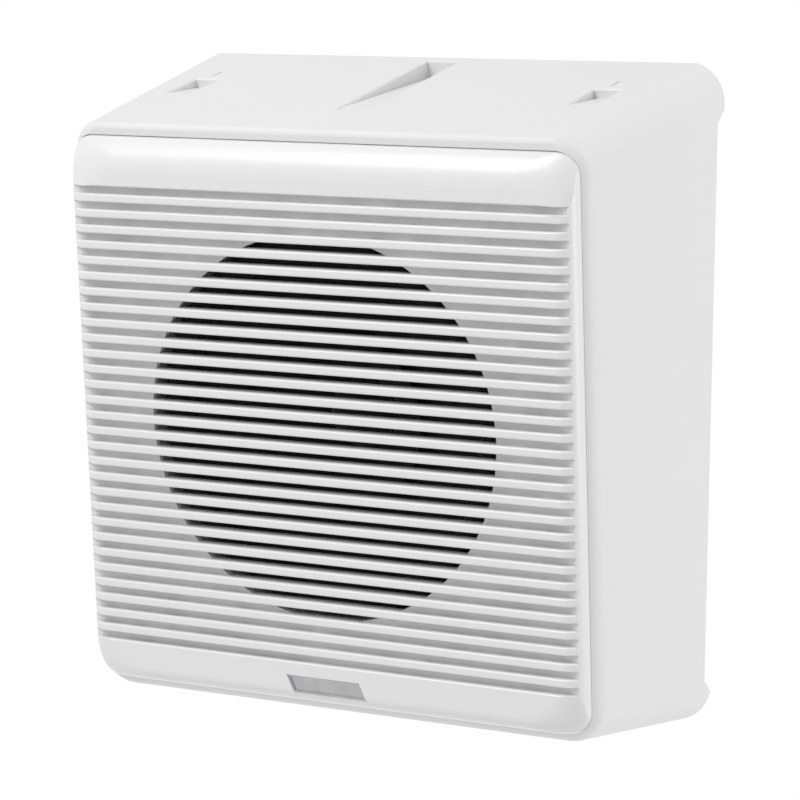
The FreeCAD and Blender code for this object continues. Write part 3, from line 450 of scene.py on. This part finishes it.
def finishes():
    """One material for each of the record's slots, from its maker and that maker's values in order."""
    recipes = {
        # Painted shade share: slight on the cabinet, full in the grille's grooves
        "cabinet_white": (white_moulding, grey(0.768), (0.757, 0.757, 0.758), 0.06, 12 * MICRON, 0.50),
        "grille_white": (white_moulding, grey(0.815), grey(0.808), 1.0, 8 * MICRON, 0.30),
        "badge_plate": (metal, (0.39, 0.39, 0.40), (0.34, 0.34, 0.345), 0.38, 1500.0),
        "plated_steel": (metal, (0.68, 0.68, 0.66), (0.58, 0.57, 0.54), 0.34),
        "gasket_foam": (foam, (0.62, 0.62, 0.61), (0.34, 0.34, 0.33)),
        "black_steel": (coated_metal, (0.020, 0.020, 0.021), (0.032, 0.032, 0.033), 0.45, grey(0.12)),
        "surround_cloth": (cloth, grey(0.008), grey(0.020), 420.0),
        "cone_paper": (paper, grey(0.010), grey(0.018), 0.9),
        "dust_cap_cloth": (paper, grey(0.012), grey(0.022), 0.95, 0.3),
        "former_foil": (metal, (0.78, 0.78, 0.79), (0.66, 0.66, 0.68), 0.3),
        "copper_wire": (metal, (0.80, 0.40, 0.24), (0.62, 0.28, 0.15), 0.32, 2400.0),
        "spider_cloth": (cloth, (0.42, 0.26, 0.09), (0.66, 0.46, 0.20), 900.0),
        "ferrite": (coated_metal, (0.045, 0.045, 0.047), (0.075, 0.075, 0.078), 0.7, grey(0.16)),
        "tag_board": (plain_moulding, (0.30, 0.16, 0.07), (0.24, 0.12, 0.05), 0.55),
        "tinned_brass": (metal, (0.78, 0.68, 0.42), (0.66, 0.55, 0.32), 0.3),
        "grommet_rubber": (plain_moulding, grey(0.20), grey(0.16), 0.75),
        "core_steel": (coated_metal, (0.075, 0.072, 0.068), (0.12, 0.11, 0.10), 0.4, (0.3, 0.28, 0.26)),
        "bobbin_plastic": (plain_moulding, (0.70, 0.68, 0.60), (0.66, 0.63, 0.55), 0.5),
        "winding_tape": (plain_moulding, (0.72, 0.52, 0.10), (0.66, 0.46, 0.08), 0.35, 150.0),
        "wire_red": (plain_moulding, (0.50, 0.035, 0.030), (0.44, 0.030, 0.025), 0.4),
        "wire_black": (plain_moulding, grey(0.022), grey(0.030), 0.4),
    }
    return {slot: maker(slot, *values) for slot, (maker, *values) in recipes.items()}


def dress_nodes(materials):
    """Each CAD node takes the finish of its slot."""
    for part in frame["record"]["subparts"]:
        mesh = frame["nodes"][part["node"]].data
        mesh.materials.clear()
        mesh.materials.append(materials[part["material_slot"]])


def mesh_places(mesh):
    """The place of every corner of a mesh, one row each."""
    places = np.empty(3 * len(mesh.vertices))
    mesh.vertices.foreach_get("co", places)
    return places.reshape(-1, 3)


def from_axis(places):
    """Each place's radius from the driver's axis and its height along it."""
    offset = places - AXIS_POINT
    height = offset @ AXIS
    radius = np.linalg.norm(offset - height[:, None] * AXIS, axis=1)
    return radius, height


def node_places(node):
    """The place of every corner of a CAD node."""
    return mesh_places(frame["nodes"][node].data)


def quads(rows, columns, around_rows, around_columns):
    """Corner numbers of a grid's four-sided faces, with each direction closed on itself where asked."""
    row = np.arange(rows if around_rows else rows - 1)[:, None]
    column = np.arange(columns if around_columns else columns - 1)[None, :]
    next_row = (row + 1) % rows
    next_column = (column + 1) % columns
    ring = (row * columns + column, row * columns + next_column,
            next_row * columns + next_column, next_row * columns + column)
    return np.stack([part.ravel() for part in ring], axis=1)


def piece_from(name, places, faces, finish):
    """A smooth mesh piece with one finish. Its faces are turned outwards by the sign of its volume, the sum
    of the pyramids from its middle to each face, and the corners that meet at a pole are merged."""
    first, second, third, fourth = (places[faces[:, i]] - places.mean(axis=0) for i in range(4))
    volume = np.einsum("ij,ij->", first, np.cross(second, third) + np.cross(third, fourth))
    if volume < 0:
        faces = faces[:, ::-1]
    mesh = bpy.data.meshes.new(name)
    mesh.from_pydata(places.tolist(), [], faces.tolist())
    shape = bmesh.new()
    shape.from_mesh(mesh)
    bmesh.ops.remove_doubles(shape, verts=shape.verts, dist=MICRON)
    shape.to_mesh(mesh)
    shape.free()
    mesh.polygons.foreach_set("use_smooth", np.ones(len(mesh.polygons), dtype=bool))
    mesh.materials.append(finish)
    return new_object(name, mesh)


def turned_cloth(name, radius, height, gauge, finish):
    """A cloth ring: a path of radius and height, gauge thick towards the back, carried round the axis."""
    around = np.linspace(0.0, 2 * np.pi, RING_STEPS, endpoint=False)[None, :, None]
    section_radius = np.concatenate([radius, radius[::-1]])[:, None, None]
    section_height = np.concatenate([height, height[::-1] - gauge])[:, None, None]
    places = (AXIS_POINT + section_radius * (np.cos(around) * ACROSS + np.sin(around) * UP)
              + section_height * AXIS)
    faces = quads(len(section_radius), RING_STEPS, True, True)
    return piece_from(name, places.reshape(-1, 3), faces, finish)


def flex_by_radius(piece):
    """The piece's placement is baked into its mesh, and each corner's radius from the driver's axis is measured
    but not used."""
    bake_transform(piece)
    radius, _ = from_axis(mesh_places(piece.data))


def surround(finish):
    """The cone's cloth edge: a flat clamped lip, half an ellipse to the front, and a lip on the cone."""
    radius, height = from_axis(node_places("surround"))
    gasket_radius, _ = from_axis(node_places("driver_gasket"))
    cone_radius, _ = from_axis(node_places("cone"))
    bore = gasket_radius.min()
    cone_edge = cone_radius.max()
    lip = height[radius > radius.max() - SURROUND_GAUGE].max()
    turn = np.linspace(0.0, np.pi, ROLL_STEPS)
    roll_radius = (bore + cone_edge) / 2 + ((bore - cone_edge) / 2 - SURROUND_GAUGE) * np.cos(turn)
    roll_height = lip + (height.max() - lip) * np.sin(turn)
    path_radius = np.concatenate([[radius.max(), bore], roll_radius, [cone_edge, radius.min()]])
    path_height = np.concatenate([[lip, lip], roll_height, [lip, lip]])
    piece = turned_cloth("flexing_surround", path_radius, path_height, SURROUND_GAUGE, finish)
    flex_by_radius(piece)
    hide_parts("surround")


def spider(finish):
    """The centring disc: sine waves from the coil former out to a flat edge glued on the basket's ledge."""
    radius, height = from_axis(node_places("spider"))
    inner = radius.min()
    outer = radius.max()
    flat = outer - SPIDER_GLUED
    glued = height[radius > outer - SPIDER_GAUGE].max()
    amplitude = (height.max() - height.min() - SPIDER_GAUGE) / 2
    share = np.linspace(0.0, 1.0, WAVE_STEPS * SPIDER_WAVES + 1)
    settle = np.clip((share - 1) * SPIDER_WAVES / SPIDER_SETTLE + 1, 0.0, 1.0)
    wave = height.max() - amplitude - amplitude * np.sin(2 * np.pi * SPIDER_WAVES * share)
    path_radius = np.append(inner + (flat - inner) * share, outer)
    path_height = np.append(wave + (glued - wave) * settle, glued)
    piece = turned_cloth("flexing_spider", path_radius, path_height, SPIDER_GAUGE, finish)
    flex_by_radius(piece)
    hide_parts("spider")


def slack_line(tag_end, cone_end, share):
    """A cubic curve, straight out of the tag and slack behind the cone, at each share of its way."""
    inside = tag_end - LEAD_RUN * ACROSS
    slack = (inside + cone_end) / 2 - LEAD_SLACK * AXIS
    rest = 1 - share
    return (rest**3 * tag_end + 3 * rest**2 * share * inside
            + 3 * rest * share**2 * slack + share**3 * cone_end)


def braided_tube(line, share):
    """Rings of a tube along a line, closed to a point at each end. Its radius is a product of two cosines:
    it rises where strands wound one way round cross strands wound the other way."""
    ahead = np.gradient(line, axis=0)
    ahead /= np.linalg.norm(ahead, axis=1, keepdims=True)
    normal = np.cross(ahead, UP)
    normal /= np.linalg.norm(normal, axis=1, keepdims=True)
    beside = np.cross(ahead, normal)
    around = np.linspace(0.0, 2 * np.pi, LEAD_SIDES, endpoint=False)[None, :]
    wound = 2 * np.pi * BRAID_TURNS * share
    pairs = BRAID_STRANDS / 2
    crossing = np.cos(pairs * (around + wound)) * np.cos(pairs * (around - wound))
    radius = (LEAD_RADIUS * (1 - BRAID_RELIEF * (1 - crossing) / 2))[:, :, None]
    tube = (line[:, None, :] + radius * (np.cos(around)[:, :, None] * normal[:, None, :]
                                         + np.sin(around)[:, :, None] * beside[:, None, :]))
    first, last = (np.repeat(end, LEAD_SIDES, axis=0)[None] for end in (line[:1], line[-1:]))
    return np.concatenate([first, tube, last])


def braided_leads(finish):
    """Two leads, each a braided tube on a slack curve between the ends of its CAD solid."""
    places = node_places("braided_leads")
    rise = (places - AXIS_POINT) @ UP
    share = np.linspace(0.0, 1.0, LEAD_STEPS)[:, None]
    for name, side in (("upper_braided_lead", rise > 0), ("lower_braided_lead", rise < 0)):
        own = places[side]
        tag_end = own[own[:, 0] > own[:, 0].max() - LEAD_RADIUS].mean(axis=0)
        cone_end = own[own[:, 0] < own[:, 0].min() + LEAD_RADIUS].mean(axis=0)
        rings = braided_tube(slack_line(tag_end, cone_end, share), share)
        faces = quads(len(rings), LEAD_SIDES, False, True)
        piece = piece_from(name, rings.reshape(-1, 3), faces, finish)
        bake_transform(piece)
        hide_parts("braided_leads")


def background_rays(tree):
    """One for the rays that show the background: to the camera, off gloss and through glass."""
    rays = add(tree, "LightPath").outputs
    seen = rays["Is Camera Ray"]
    for kind in ("Is Glossy Ray", "Is Transmission Ray"):
        seen = joined(tree, "MAXIMUM", seen, rays[kind])
    return seen


def backdrop():
    """White to the rays that show the background, and an even fill of light to all others."""
    world = bpy.data.worlds.new("studio")
    bpy.context.scene.world = world
    world.use_nodes = True
    tree = world.node_tree
    light = tree.nodes["Background"].inputs
    light["Color"].default_value = FULL_WHITE
    tree.links.new(ramp(tree, background_rays(tree), 0.0, 1.0, FILL_LIGHT, 1.0), light["Strength"])


def softboxes():
    """Square lamps round the speaker; each lights a white face turned to it to the level of its strength."""
    low, high = cad_bounds
    middle = (low + high) / 2
    for name, (direction, strength) in SOFTBOXES.items():
        lamp = bpy.data.lights.new(name, "AREA")
        lamp.size = SOFTBOX_WIDTH
        lamp.energy = strength * (np.pi * SOFTBOX_DISTANCE) ** 2
        towards = Vector(direction).normalized()
        stand = new_object(name, lamp)
        stand.location = middle + towards * SOFTBOX_DISTANCE
        stand.rotation_euler = towards.to_track_quat("Z", "Y").to_euler()
        stand.visible_camera = False


def pale_floor():
    """Pale floor: grey-white to the light, near white with its shadow from above, open from below."""
    material, tree, shader = new_material("pale_floor", Roughness=0.9)
    mottle = noise(tree, object_place(tree), FLOOR_MOTTLE, 3.0)
    dark, light = FLOOR_TONES
    paint(tree, shader, mix(tree, mottle, grey(dark), grey(light)))
    lit = shader.outputs["BSDF"]
    glow = add(tree, "Emission", {"Color": FULL_WHITE, "Strength": FLOOR_GLOW}).outputs["Emission"]
    glowing = add(tree, "AddShader", {0: lit, 1: glow}).outputs["Shader"]
    clear = add(tree, "BsdfTransparent").outputs["BSDF"]
    from_below = add(tree, "NewGeometry").outputs["Backfacing"]
    shown = add(tree, "MixShader", {0: from_below, 1: glowing, 2: clear}).outputs["Shader"]
    surface = add(tree, "MixShader", {0: background_rays(tree), 1: lit, 2: shown}).outputs["Shader"]
    tree.links.new(surface, tree.nodes["Material Output"].inputs["Surface"])
    return material


def floor():
    """A square of pale floor well below the hanging speaker."""
    half = FLOOR_SIZE / 2
    level = cad_bounds[0].z - FLOOR_DROP
    square = [(-half, -half, level), (half, -half, level), (half, half, level), (-half, half, level)]
    mesh = bpy.data.meshes.new("floor")
    mesh.from_pydata(square, [], [(0, 1, 2, 3)])
    mesh.materials.append(pale_floor())
    new_object("floor", mesh)


def camera():
    """The photograph's view: from the front right, a little above, with a long lens."""
    lens = bpy.data.cameras.new("camera")
    lens.lens = CAMERA_LENS
    lens.sensor_width = CAMERA_SENSOR
    lens.sensor_fit = "HORIZONTAL"
    look = (CAMERA_AIM - CAMERA_EYE).to_track_quat("-Z", "Y")
    lean = Quaternion((0.0, 0.0, 1.0), CAMERA_LEAN)
    stand = new_object("camera", lens)
    stand.location = CAMERA_EYE
    stand.rotation_euler = (look @ lean).to_euler()
    bpy.context.scene.camera = stand


FINISHES = finishes()
dress_nodes(FINISHES)
surround(FINISHES["surround_cloth"])
spider(FINISHES["spider_cloth"])
braided_leads(FINISHES["copper_wire"])

bpy.context.scene.view_settings.view_transform = "Standard"
backdrop()
softboxes()
floor()
camera()
